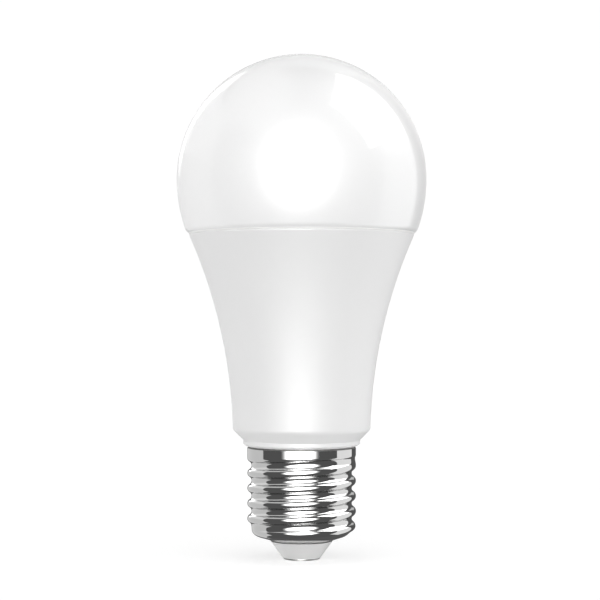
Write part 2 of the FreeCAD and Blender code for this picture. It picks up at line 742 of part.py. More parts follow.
def bent_lead(x, y, z_from, z_to):
    """A lead that leaves a part along Z, at this y, and bends down through the board at z_to."""
    bend = 0.7
    way = 1 if z_to > z_from else -1
    knee = (1 - math.sqrt(0.5)) * bend
    start, straight_end = Vector(x, y, z_from), Vector(x, y, z_to - way * bend)
    middle, bend_end = Vector(x, y - knee, z_to - way * knee), Vector(x, y - bend, z_to)
    edges = [
        Part.LineSegment(start, straight_end).toShape(),
        Part.Arc(straight_end, middle, bend_end).toShape(),
        Part.LineSegment(bend_end, Vector(x, LEAD_TIP_Y, z_to)).toShape(),
    ]
    circle = Part.Wire(Part.makeCircle(LEAD_RADIUS, start, UP))
    return Part.Wire(edges).makePipeShell([circle], True, True)


def can_leads(name, can):
    y = BOARD_FRONT_Y + can["stand_off"] + can["radius"]
    return [bent_lead(x, y, can["z_range"][1] + 0.02, z) for x, z in LEAD_PLACES[name]]


def component_leads():
    leads = can_leads("input_capacitor", INPUT_CAN) + can_leads("output_capacitor", OUTPUT_CAN)
    for name in ("noise_choke", "transformer", "film_capacitor"):
        leads += straight_leads(name)
    for x, z in LEAD_PLACES["fusible_resistor"]:
        way = 1 if z > RESISTOR_Z else -1
        leads.append(bent_lead(x, RESISTOR_Y, RESISTOR_Z + way * (RESISTOR_HALF_LENGTH + 0.02), z))
    disc = surge_varistor()[0]
    for x, z in LEAD_PLACES["surge_varistor"]:
        leads.append(rod_y(LEAD_RADIUS, LEAD_TIP_Y, VARISTOR_Y - 2, x, z).cut(disc))
    return leads


def lying_can(radius, x, z_range, stand_off):
    """An electrolytic capacitor on its side along Z, with the rolled groove near its open end."""
    low, high = z_range
    bead = 0.35
    outline = Outline(0.0, low)
    outline.line(radius, low).line(radius, high - 2.6).line(radius - bead, high - 2.2)
    outline.line(radius - bead, high - 1.8).line(radius, high - 1.4).line(radius, high).line(0.0, high)
    can = round_rings(outline.turned(), 0.5, [(radius, low), (radius, high)])
    return can.translated(Vector(x, BOARD_FRONT_Y + stand_off + radius, 0))


def input_capacitor():
    return [lying_can(**INPUT_CAN)]


def output_capacitor():
    return [lying_can(**OUTPUT_CAN)]


def surge_varistor():
    thickness = 3.2
    corner = Vector(VARISTOR_X, VARISTOR_Y, VARISTOR_Z - thickness / 2)
    disc = Part.makeCylinder(VARISTOR_RADIUS, thickness, corner, UP)
    return [disc.makeFillet(1.0, [edge for edge in disc.Edges if isinstance(edge.Curve, Part.Circle)])]


def drum_y(x, z, y_low, radii_heights):
    """A turned part standing on the board, from (radius, height) steps away from the board."""
    outline = Outline(0.0, 0.0)
    for radius, height in radii_heights:
        outline.line(radius, height)
    outline.line(0.0, radii_heights[-1][1])
    shape = outline.turned()
    shape.rotate(ORIGIN, Vector(1, 0, 0), -90)
    shape.translate(Vector(x, y_low, z))
    return shape


def noise_choke_core():
    y_low = BOARD_FRONT_Y + STAND_OFF["noise_choke"]
    steps = [(3.0, 0.0), (3.0, 1.2), (1.6, 1.2), (1.6, 6.2), (3.0, 6.2), (3.0, 7.4)]
    return [drum_y(CHOKE_X, CHOKE_Z, y_low, steps)]


def noise_choke_winding():
    y_low = BOARD_FRONT_Y + STAND_OFF["noise_choke"] + 1.2 + 0.02
    coil = rod_y(2.75, y_low, y_low + 4.96, CHOKE_X, CHOKE_Z)
    return [coil.cut(rod_y(1.62, y_low - 1, y_low + 6, CHOKE_X, CHOKE_Z))]


# Transformer: bobbin, winding and a two-part E core round them; its coil axis runs along X
TRANSFORMER_X, TRANSFORMER_Z = -1.75, 52.5
COIL_Y = BOARD_FRONT_Y + 5.4


def along_x(shape_radius, x_range):
    length = x_range[1] - x_range[0]
    return Part.makeCylinder(shape_radius, length, Vector(x_range[0], COIL_Y, TRANSFORMER_Z), Vector(1, 0, 0))


def transformer_bobbin():
    """A tube with a round flange at each end, and a foot rail for the leads under each flange."""
    body = along_x(2.1, (TRANSFORMER_X - 4.0, TRANSFORMER_X + 4.0))
    rail_y = (BOARD_FRONT_Y + STAND_OFF["transformer"], BOARD_FRONT_Y + 2.4)
    rail_z = (TRANSFORMER_Z - 4.2, TRANSFORMER_Z + 4.2)
    for side in (-1, 1):
        inner, outer, rail_end = (TRANSFORMER_X + side * reach for reach in (3.4, 4.0, 5.6))
        body = body.fuse(along_x(3.9, sorted((inner, outer))))
        body = body.fuse(block(sorted((inner, rail_end)), rail_y, rail_z))
    return [body.cut(along_x(1.5, (TRANSFORMER_X - 7, TRANSFORMER_X + 7)))]


def transformer_winding():
    left, right = TRANSFORMER_X - 3.38, TRANSFORMER_X + 3.38
    return [along_x(3.6, (left, right)).cut(along_x(2.12, (left - 1, right + 1)))]


def transformer_core():
    """Two E halves joined on the plane x = TRANSFORMER_X, as two solids."""
    halves = []
    for side in (-1, 1):
        x_mid, x_end = TRANSFORMER_X + side * 0.02, TRANSFORMER_X + side * 5.8
        x_back = TRANSFORMER_X + side * 4.1
        z_range = (TRANSFORMER_Z - 2.6, TRANSFORMER_Z + 2.6)
        back = block(sorted((x_back, x_end)), (COIL_Y - 2.9, COIL_Y + 5.7), z_range)
        leg = block(sorted((x_mid, x_end)), (COIL_Y + 4.1, COIL_Y + 5.7), z_range)
        centre = along_x(1.4, sorted((x_mid, x_end)))
        halves.append(back.fuse(leg).fuse(centre))
    return halves


def film_capacitor():
    y_low = BOARD_FRONT_Y + STAND_OFF["film_capacitor"]
    body = block((5.2, 9.6), (y_low, y_low + 6.5), (49.4, 58.6))
    return [body.makeFillet(0.4, body.Edges)]


def fusible_resistor():
    """An axial resistor with a slightly thinner waist between its end caps."""
    end, waist = RESISTOR_RADIUS, RESISTOR_RADIUS - 0.2
    low, high = -RESISTOR_HALF_LENGTH, RESISTOR_HALF_LENGTH
    outline = Outline(0.0, low)
    outline.line(end, low).line(end, low + 1.6).line(waist, low + 1.9).line(waist, high - 1.9)
    outline.line(end, high - 1.6).line(end, high).line(0.0, high)
    body = round_rings(outline.turned(), 0.4, [(end, low), (end, high)])
    return [body.translated(Vector(RESISTOR_X, RESISTOR_Y, RESISTOR_Z))]


def chip_on_back(x, z, width, height, thickness):
    """A moulded chip on the back of the board, with a bevelled front face."""
    y_range = (BOARD_BACK_Y - 0.1 - thickness, BOARD_BACK_Y - 0.1)
    body = block((x - width / 2, x + width / 2), y_range, (z - height / 2, z + height / 2))
    front = [edge for edge in body.Edges if edge.BoundBox.YMax < y_range[0] + 1e-6]
    return body.makeChamfer(0.15, front)


def gull_leg(x, z, direction):
    """One bent leg of a chip, from its side down to the board; direction is +1 or -1 along X."""
    heights = [(0.0, 0.75), (0.35, 0.75), (0.55, 0.15), (1.1, 0.15), (1.1, 0.0), (0.45, 0.0)]
    heights += [(0.25, 0.6), (0.0, 0.6)]
    points = [Vector(x + direction * out, BOARD_BACK_Y - up, z - 0.2) for out, up in heights]
    return Part.Face(Part.makePolygon([*points, points[0]])).extrude(Vector(0, 0, 0.4))


DRIVER_IC_PLACES = [(-2.0, 44.0), (0.4, 59.4)]
IC_WIDTH, IC_HEIGHT, IC_PIN_PITCH = 3.9, 4.9, 1.27
BRIDGE_PLACE = (1.5, 24.0)


def driver_ics():
    return [chip_on_back(x, z, IC_WIDTH, IC_HEIGHT, 1.4) for x, z in DRIVER_IC_PLACES]


def bridge_rectifier():
    return [chip_on_back(*BRIDGE_PLACE, 4.0, 4.7, 2.4)]


def chip_legs():
    legs = []
    for x, z in DRIVER_IC_PLACES:
        for k in range(4):
            leg_z = z + (k - 1.5) * IC_PIN_PITCH
            legs += [gull_leg(x + side * (IC_WIDTH / 2 + 0.01), leg_z, side) for side in (-1, 1)]
    x, z = BRIDGE_PLACE
    for leg_z in (z - 1.27, z + 1.27):
        legs += [gull_leg(x + side * 2.01, leg_z, side) for side in (-1, 1)]
    return legs


def power_diodes():
    return [chip_on_back(x, z, 2.6, 4.3, 2.1) for x, z in ((-8.2, 44.5), (9.0, 42.0))]


def surface_resistors():
    places = [(x, z) for x in (-10.6, -8.6) for z in (57.0, 60.0, 63.0)]
    places += [(x, 30.5) for x in (-6.0, -3.4, 3.4, 6.0)]
    return [chip_on_back(x, z, 1.25, 2.0, 0.5) for x, z in places]


def surface_capacitors():
    places = [(9.4, 50.0), (9.4, 57.0), (9.4, 62.0), (-2.0, 50.6), (-5.6, 60.5)]
    return [chip_on_back(x, z, 1.6, 3.2, 1.2) for x, z in places]


LEAD_WIRE_RADIUS = 0.55


def live_lead():
    """From the driver board's foot to the rivet's bore."""
    points = [(-4.0, -2.6, 14.6), (-3.6, -2.2, 13.2), (-2.4, -1.6, 11.4), (-0.6, -0.3, 9.6)]
    points += [(0.0, 0.0, 7.9), (0.0, 0.0, 6.9)]
    wire = tube_along(points, LEAD_WIRE_RADIUS)
    return [wire.fuse(cylinder(0.3, 2.0, 7.4))]


def neutral_lead():
    """From the driver board's foot to a joint on the cap's inner wall, under the neck."""
    points = [(4.0, -2.6, 14.6), (4.2, -2.2, 13.2), (5.2, -1.6, 11.4), (7.4, -0.6, 9.9), (10.0, 0.0, 9.4)]
    return [tube_along(points, LEAD_WIRE_RADIUS)]


def neutral_solder_joint():
    joint = Part.makeSphere(1.3, Vector(11.2, 0.0, 9.2)).cut(neutral_lead()[0])
    return [joint.common(threaded_plug(CAP_SHEET + 0.01, 8.2, 10.4))]


# ---- Build -------------------------------------------------------------------------------------

NODES = {
    "globe_diffuser": lambda: [globe_diffuser()],
    "housing_shell": lambda: [housing_shell()],
    "heat_sink_cup": lambda: [heat_sink_cup()],
    "globe_sealant_bead": lambda: [globe_sealant_bead()],
    "driver_liner": lambda: [driver_liner()],
    "screw_cap_shell": lambda: [screw_cap_shell()],
    "cap_insulator": lambda: [cap_insulator()],
    "centre_contact": lambda: [centre_contact()],
    "thermal_pad": lambda: [thermal_pad()],
    "led_board": lambda: [led_board()],
    "led_board_screws": led_board_screws,
    "cool_white_leds": lambda: white_leds(0),
    "warm_white_leds": lambda: white_leds(1),
    "colour_leds": colour_leds,
    "radio_module_board": lambda: [radio_module_board()],
    "radio_chip": radio_chip,
    "radio_crystal": radio_crystal,
    "radio_passives": radio_passives,
    "radio_solder_joints": radio_solder_joints,
    "header_block": lambda: [header_block()],
    "header_pins": header_pins,
    "header_solder_joints": header_solder_joints,
    "driver_board": lambda: [driver_board()],
    "board_solder_joints": board_solder_joints,
    "component_leads": component_leads,
    "input_capacitor": input_capacitor,
    "output_capacitor": output_capacitor,
    "surge_varistor": surge_varistor,
    "noise_choke_core": noise_choke_core,
    "noise_choke_winding": noise_choke_winding,
    "transformer_bobbin": transformer_bobbin,
    "transformer_winding": transformer_winding,
    "transformer_core": transformer_core,
    "film_capacitor": film_capacitor,
    "fusible_resistor": fusible_resistor,
    "driver_ics": driver_ics,
    "bridge_rectifier": bridge_rectifier,
    "chip_legs": chip_legs,
    "power_diodes": power_diodes,
    "surface_resistors": surface_resistors,
    "surface_capacitors": surface_capacitors,
    "live_lead": live_lead,
    "neutral_lead": neutral_lead,
    "neutral_solder_joint": neutral_solder_joint,
}

os.makedirs("parts", exist_ok=True)
for node, build in NODES.items():
    export(node, build())
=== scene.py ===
"""Looks for the smart light bulb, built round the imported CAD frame. Everything is in metres.

The CAD nodes keep their shapes and get procedural materials. Small parts that the CAD leaves to the
looks are built here as meshes, placed from the CAD nodes themselves: phosphor in the white LEDs'
windows, the colour LEDs' dies, leadframes and bond wires, solder fillets, the radio module's printed
antenna and pads, and the sealant in the globe's seam.
"""

import json
import math

import bmesh
import bpy
from mathutils import Matrix, Vector


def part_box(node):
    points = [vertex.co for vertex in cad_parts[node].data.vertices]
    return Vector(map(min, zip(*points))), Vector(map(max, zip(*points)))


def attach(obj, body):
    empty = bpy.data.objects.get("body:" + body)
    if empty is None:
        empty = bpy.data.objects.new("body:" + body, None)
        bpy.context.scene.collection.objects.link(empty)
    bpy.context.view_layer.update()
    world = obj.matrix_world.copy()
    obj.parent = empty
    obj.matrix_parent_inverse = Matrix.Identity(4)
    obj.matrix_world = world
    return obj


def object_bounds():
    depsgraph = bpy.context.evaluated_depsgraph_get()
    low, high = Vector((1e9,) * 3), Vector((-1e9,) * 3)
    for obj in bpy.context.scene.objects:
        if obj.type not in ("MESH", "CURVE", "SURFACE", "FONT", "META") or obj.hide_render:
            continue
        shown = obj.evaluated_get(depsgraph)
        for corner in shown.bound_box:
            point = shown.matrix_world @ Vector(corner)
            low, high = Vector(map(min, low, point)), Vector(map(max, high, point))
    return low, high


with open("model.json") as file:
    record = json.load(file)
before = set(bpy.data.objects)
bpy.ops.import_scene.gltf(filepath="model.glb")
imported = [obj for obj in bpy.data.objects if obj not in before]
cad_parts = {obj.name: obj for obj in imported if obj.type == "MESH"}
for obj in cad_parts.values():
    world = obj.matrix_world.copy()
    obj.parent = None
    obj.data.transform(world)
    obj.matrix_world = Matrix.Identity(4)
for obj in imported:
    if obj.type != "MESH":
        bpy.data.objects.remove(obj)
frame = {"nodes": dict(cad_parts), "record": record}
CAD_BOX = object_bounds()
MM = 0.001
DEGREES = 180 / math.pi

# The cap's rolled thread, in millimetres, as in the CAD part.
THREAD_PITCH = 3.629
THREAD_ARC_RADIUS = 1.025
CREST_RADIUS = 13.03
ROOT_RADIUS = 12.02
CREST_Z = 7.85
THREAD_STARTS = (4.8, 8.6)  # the crest grows from nothing to full as it climbs between these heights
THREAD_ENDS = (22.4, 24.9)  # the groove fades to nothing as it climbs between these
GROOVE_LIMIT = (24.2, 24.9)  # and none of it is left above the second of these
CAP_CORNER_RADIUS = 2.6
CAP_WALL_Z = 7.911  # foot of the cap's straight wall, above its rounded corner
PAINTED_SHADE_HEIGHT = 0.4  # how far above the cap's top edge the neck is painted dark as shade under the collar, also in millimetres

TRACE_THICKNESS = 0.035 * MM  # copper and gilding on the radio module

WHITE = (1.0, 1.0, 1.0, 1.0)

# ---- Shader graphs -----------------------------------------------------------------------------


class Graph:
    """Adds nodes to a material's or the world's node tree; any value may be a number or a socket."""

    def __init__(self, tree):
        self.tree = tree
        tree.nodes.clear()

    def add(self, kind, **settings):
        node = self.tree.nodes.new("ShaderNode" + kind)
        for name, value in settings.items():
            setattr(node, name, value)
        return node

    def feed(self, socket, value):
        if isinstance(value, bpy.types.NodeSocket):
            self.tree.links.new(value, socket)
        else:
            socket.default_value = value

    def fill(self, node, **values):
        for name, value in values.items():
            self.feed(node.inputs[name.replace("_", " ")], value)
        return node

    def math(self, operation, *values):
        node = self.add("Math", operation=operation)
        for socket, value in zip(node.inputs, values):
            self.feed(socket, value)
        return node.outputs[0]

    def plus(self, a, b):
        return self.math("ADD", a, b)

    def minus(self, a, b):
        return self.math("SUBTRACT", a, b)

    def times(self, a, b):
        return self.math("MULTIPLY", a, b)

    def largest(self, values):
        result = values[0]
        for value in values[1:]:
            result = self.math("MAXIMUM", result, value)
        return result

    def rise(self, value, low, high):
        """0 at low, 1 at high and smooth between; low may be the larger one."""
        node = self.add("MapRange", interpolation_type="SMOOTHSTEP")
        self.fill(node, Value=value, From_Min=low, From_Max=high)
        return node.outputs["Result"]

    def remap(self, value, low, high):
        """A value that runs from 0 to 1, moved to run from low to high."""
        node = self.add("MapRange")
        self.fill(node, Value=value, To_Min=low, To_Max=high)
        return node.outputs["Result"]

    def within(self, value, low, high, soft):
        """1 between low and high, 0 outside, with edges soft wide."""
        half = soft / 2
        start = self.rise(value, low - half, low + half)
        end = self.rise(value, high + half, high - half)
        return self.times(start, end)

    def mix(self, share, a, b):
        node = self.add("Mix", data_type="RGBA")
        for name, value in (("Factor_Float", share), ("A_Color", a), ("B_Color", b)):
            socket = next(s for s in node.inputs if s.identifier == name)
            self.feed(socket, value)
        return next(s for s in node.outputs if s.identifier == "Result_Color")

    def split(self, vector):
        """A vector's parts, as sockets named X, Y and Z."""
        node = self.add("SeparateXYZ")
        self.feed(node.inputs[0], vector)
        return node.outputs

    def dot(self, direction, fixed):
        """How far a direction points along a fixed one: the dot product of the two."""
        node = self.add("VectorMath", operation="DOT_PRODUCT")
        self.feed(node.inputs[0], direction)
        node.inputs[1].default_value = fixed
        return node.outputs["Value"]

    def position(self):
        """Position in millimetres from the CAD origin, as a vector."""
        scaled = self.add("VectorMath", operation="SCALE")
        self.feed(scaled.inputs[0], self.add("TexCoord").outputs["Object"])
        scaled.inputs["Scale"].default_value = 1 / MM
        return scaled.outputs[0]

    def noise(self, size_mm, detail=2.0, stretch=(1, 1, 1)):
        """Noise with features about size_mm across, 0 to 1, stretched along each axis."""
        mapping = self.add("Mapping")
        self.feed(mapping.inputs["Vector"], self.position())
        mapping.inputs["Scale"].default_value = [1 / (size_mm * s) for s in stretch]
        node = self.add("TexNoise")
        self.fill(node, Vector=mapping.outputs[0], Scale=1.0, Detail=detail)
        return node.outputs["Fac"]

    def bump(self, height, strength, distance_mm):
        node = self.add("Bump")
        self.fill(node, Height=height, Strength=strength, Distance=distance_mm * MM)
        return node.outputs[0]


def rgba(colour):
    return (*colour, 1.0)


def darker(colour, factor):
    return tuple(c * factor for c in colour)


# ---- Materials ---------------------------------------------------------------------------------

MATERIALS = {}


def material(name):
    """A fresh node material; its graph and Principled surface are returned for filling in."""
    made = bpy.data.materials.new(name)
    made.use_nodes = True
    graph = Graph(made.node_tree)
    surface = graph.add("BsdfPrincipled")
    output = graph.add("OutputMaterial")
    graph.feed(output.inputs["Surface"], surface.outputs[0])
    MATERIALS[name] = made
    return graph, surface


def plain(
    name,
    colour,
    roughness,
    metallic=0.0,
    mottle=0.04,
    mottle_mm=4.0,
    uneven=0.06,
    grain_mm=0.25,
    grain=0.1,
    stretch=(1, 1, 1),
    **inputs,
):
    """A surface with colour variation, uneven gloss and a fine grain, each from its own noise."""
    graph, surface = material(name)
    tint = graph.mix(graph.noise(mottle_mm, 4.0), rgba(darker(colour, 1 - mottle)), rgba(colour))
    fine = graph.noise(grain_mm, 3.0, stretch)
    gloss = graph.remap(graph.noise(mottle_mm * 0.4, 3.0), roughness - uneven, roughness + uneven)
    graph.fill(surface, Base_Color=tint, Metallic=metallic, Roughness=gloss)
    graph.feed(surface.inputs["Normal"], graph.bump(fine, grain, grain_mm * 0.2))
    graph.fill(surface, **inputs)
    return graph, surface


def opal_globe():
    """Opal plastic: a satin white body that light sinks into, under a clear, mirror-like skin.

    Both shines fade towards the side rims, where the wall is seen edge on and its own white wins.
    """
    graph, surface = material("opal_globe")
    body = graph.mix(graph.noise(14.0, 3.0), (0.95, 0.95, 0.95, 1), (0.965, 0.965, 0.965, 1))
    graph.fill(surface, Base_Color=body, Roughness=graph.remap(graph.noise(6.0), 0.44, 0.50), IOR=1.5)
    graph.fill(surface, Subsurface_Weight=0.2, Subsurface_Scale=1.0 * MM)
    surface.inputs["Subsurface Radius"].default_value = (1.0, 1.0, 1.0)
    facing = graph.add("LayerWeight").outputs["Facing"]
    upward = graph.split(graph.add("NewGeometry").outputs["Normal"])["Z"]
    sideways = graph.rise(upward, 0.85, 0.45)
    rim = graph.times(graph.rise(facing, 0.62, 0.97), sideways)
    graph.fill(surface, Specular_IOR_Level=graph.remap(rim, 0.8, 0.0))
    graph.fill(surface, Coat_Weight=graph.remap(rim, 1.0, 0.12), Coat_IOR=1.46)
    graph.fill(surface, Coat_Roughness=graph.remap(graph.noise(5.0), 0.01, 0.02))


def white_housing():
    """Satin moulded plastic with the faint grain of a spark-eroded mould.

    The neck under the collar is painted dark: painted shade for the shadow line between the cap's top
    edge and the collar.
    """
    graph, surface = material("white_housing")
    body = graph.mix(graph.noise(9.0, 3.0), (0.82, 0.82, 0.82, 1), (0.84, 0.84, 0.84, 1))
    height = graph.split(graph.position())["Z"]
    collar_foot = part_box("screw_cap_shell")[1].z / MM + PAINTED_SHADE_HEIGHT
    # painted shade: the neck just above the cap's top edge is coloured near black, standing in for the
    # shadow under the collar
    below = graph.rise(height, collar_foot, collar_foot - 0.04)
    painted_shade = graph.mix(graph.noise(1.5, 3.0), (0.10, 0.10, 0.10, 1), (0.20, 0.20, 0.19, 1))
    gloss = graph.remap(graph.noise(2.5, 3.0), 0.48, 0.54)
    grain = graph.bump(graph.noise(0.22, 4.0), 0.10, 0.02)
    graph.fill(surface, Base_Color=graph.mix(below, body, painted_shade), Roughness=gloss, Normal=grain)
    graph.fill(surface, IOR=1.5, Specular_IOR_Level=0.95)


def rolled_height(graph, z, angle):
    """Radius in millimetres of the cap's rolled sheet at this height and angle, as the CAD makes it."""
    half = THREAD_PITCH / 2
    arc = THREAD_ARC_RADIUS
    depth = 2 * (arc - math.sqrt(arc**2 - (half / 2) ** 2))
    offset = graph.minus(graph.minus(z, CREST_Z), graph.times(angle, THREAD_PITCH / (2 * math.pi)))
    to_crest = graph.math("WRAP", offset, half, -half)
    to_groove = graph.math("WRAP", offset, THREAD_PITCH, 0.0)
    along = graph.math("PINGPONG", offset, half / 2)
    bend = graph.math("SQRT", graph.minus(arc**2, graph.times(along, along)))
    drop = graph.times(graph.minus(arc, bend), 1 / depth)
    in_groove = graph.math("GREATER_THAN", graph.math("ABSOLUTE", to_crest), half / 2)
    hollow = graph.remap(in_groove, drop, graph.minus(1.0, drop))
    groove_z = graph.plus(graph.minus(z, to_groove), half)
    hollow = graph.times(hollow, graph.rise(groove_z, THREAD_ENDS[1], THREAD_ENDS[0]))
    hollow = graph.times(hollow, graph.rise(z, GROOVE_LIMIT[1], GROOVE_LIMIT[0]))
    grown = graph.rise(graph.minus(z, to_crest), *THREAD_STARTS)
    ridge = graph.times(graph.minus(1.0, hollow), grown)
    below = graph.math("MAXIMUM", graph.minus(CAP_WALL_Z, z), 0.0)
    corner = graph.math("SQRT", graph.minus(CAP_CORNER_RADIUS**2, graph.times(below, below)))
    wall = graph.plus(corner, ROOT_RADIUS - CAP_CORNER_RADIUS)
    return graph.plus(graph.times(ridge, CREST_RADIUS - ROOT_RADIUS), wall)


def rolled_normal(graph):
    """The exact direction that the rolled sheet faces, free of the mesh's small flat facets."""
    x, y, z = graph.split(graph.position())
    radius = graph.math("SQRT", graph.plus(graph.times(x, x), graph.times(y, y)))
    turn = graph.math("WRAP", graph.math("ARCTAN2", y, x), 2 * math.pi, 0.0)
    gap = graph.minus(rolled_height(graph, z, turn), radius)
    geometry = graph.add("NewGeometry")
    exact = graph.add("Bump")
    graph.fill(exact, Height=gap, Strength=1.0, Distance=MM, Normal=geometry.outputs["True Normal"])
    on_outside = graph.rise(graph.math("ABSOLUTE", gap), 0.12, 0.06)
    threaded = graph.times(on_outside, graph.rise(z, CAP_WALL_Z - 1.9, CAP_WALL_Z - 1.5))
    return graph.mix(threaded, geometry.outputs["Normal"], exact.outputs[0])


def nickel_plate():
    """Bright nickel plating on drawn sheet: near mirror, with faint draw lines round the axis."""
    graph, surface = material("nickel_plate")
    tone = graph.mix(graph.noise(5.0, 3.0), (0.60, 0.60, 0.60, 1), (0.63, 0.63, 0.625, 1))
    lines = graph.noise(0.12, 2.0, (60, 60, 1))
    gloss = graph.remap(lines, 0.02, 0.06)
    graph.fill(surface, Base_Color=tone, Metallic=1.0, Roughness=gloss, Normal=rolled_normal(graph))


def worn_contact():
    """The rivet's plating where a lampholder's tongue rubs it: duller and darker than the shell's."""
    plain("worn_contact", (0.42, 0.42, 0.41), 0.34, 1.0, 0.25, 1.2, grain_mm=0.3, grain=0.3)


def insulator_plastic():
    """Pale grey moulded plastic, a little glossier than the housing."""
    graph, surface = material("insulator_plastic")
    body = graph.mix(graph.noise(3.0, 4.0), (0.81, 0.81, 0.805, 1), (0.85, 0.85, 0.845, 1))
    gloss = graph.remap(graph.noise(1.2, 3.0), 0.30, 0.42)
    grain = graph.bump(graph.noise(0.3, 3.0), 0.12, 0.02)
    graph.fill(surface, Base_Color=body, Roughness=gloss, Normal=grain)


def board_mask(name, mask, copper, pitch_mm, roughness):
    """Solder mask over copper: lanes of a square grid show slightly lighter and raised."""
    graph, surface = material(name)
    x, y, z = graph.split(graph.position())
    lanes = []
    for along, across in ((x, y), (z, x)):
        place = graph.math("PINGPONG", across, pitch_mm / 2)
        lane = graph.within(place, pitch_mm * 0.12, pitch_mm * 0.30, pitch_mm * 0.04)
        block = graph.math("FLOOR", graph.math("DIVIDE", along, pitch_mm * 3.0))
        row = graph.math("FLOOR", graph.math("DIVIDE", across, pitch_mm))
        cell = graph.add("CombineXYZ")
        graph.fill(cell, X=block, Y=row, Z=1.0)
        luck = graph.add("TexWhiteNoise")
        graph.feed(luck.inputs["Vector"], cell.outputs[0])
        lanes.append(graph.times(lane, graph.rise(luck.outputs["Value"], 0.45, 0.46)))
    traces = graph.largest(lanes)
    speckle = graph.mix(graph.noise(2.0, 4.0), rgba(darker(mask, 0.94)), rgba(mask))
    colour = graph.mix(traces, speckle, rgba(copper))
    gloss = graph.remap(graph.noise(1.0), roughness, roughness + 0.1)
    graph.fill(surface, Base_Color=colour, Roughness=gloss, Normal=graph.bump(traces, 0.5, 0.05))


def turned_metal(name, colour, roughness, line_mm):
    """Metal with fine rings round the bulb's axis, as drawing or spinning leaves them."""
    plain(name, colour, roughness, 1.0, 0.05, 8.0, 0.06, line_mm, 0.25, (40, 40, 1))


def striped_sleeve():
    """Dark shrink sleeve of a capacitor with a pale polarity stripe down one side."""
    sleeve = (0.035, 0.045, 0.07)
    graph, surface = plain("capacitor_sleeve", sleeve, 0.32, mottle=0.1)
    axes = graph.split(graph.position())
    stripe = graph.within(graph.math("PINGPONG", graph.minus(axes["X"], 1.6), 3.4), 0.0, 0.7, 0.06)
    dashes = graph.within(graph.math("PINGPONG", axes["Z"], 1.5), 0.5, 1.6, 0.05)
    marking = graph.mix(dashes, (0.55, 0.57, 0.60, 1), (0.10, 0.11, 0.13, 1))
    graph.fill(surface, Base_Color=graph.mix(stripe, rgba(sleeve), marking))


def wound(name, colour, roughness, metallic, axis, turn_mm):
    """A coil: ridges of wire or tape, turn_mm apart along one axis, with painted shade darkening the
    grooves between turns.
    """
    graph, surface = material(name)
    place = graph.math("PINGPONG", graph.split(graph.position())[axis], turn_mm / 2)
    ridge = graph.rise(place, 0.0, turn_mm / 2)
    # painted shade: the colour darkens towards the grooves between turns
    tint = graph.mix(ridge, rgba(darker(colour, 0.45)), rgba(colour))
    graph.fill(surface, Base_Color=tint, Roughness=roughness, Metallic=metallic)
    graph.feed(surface.inputs["Normal"], graph.bump(ridge, 0.8, turn_mm * 0.4))


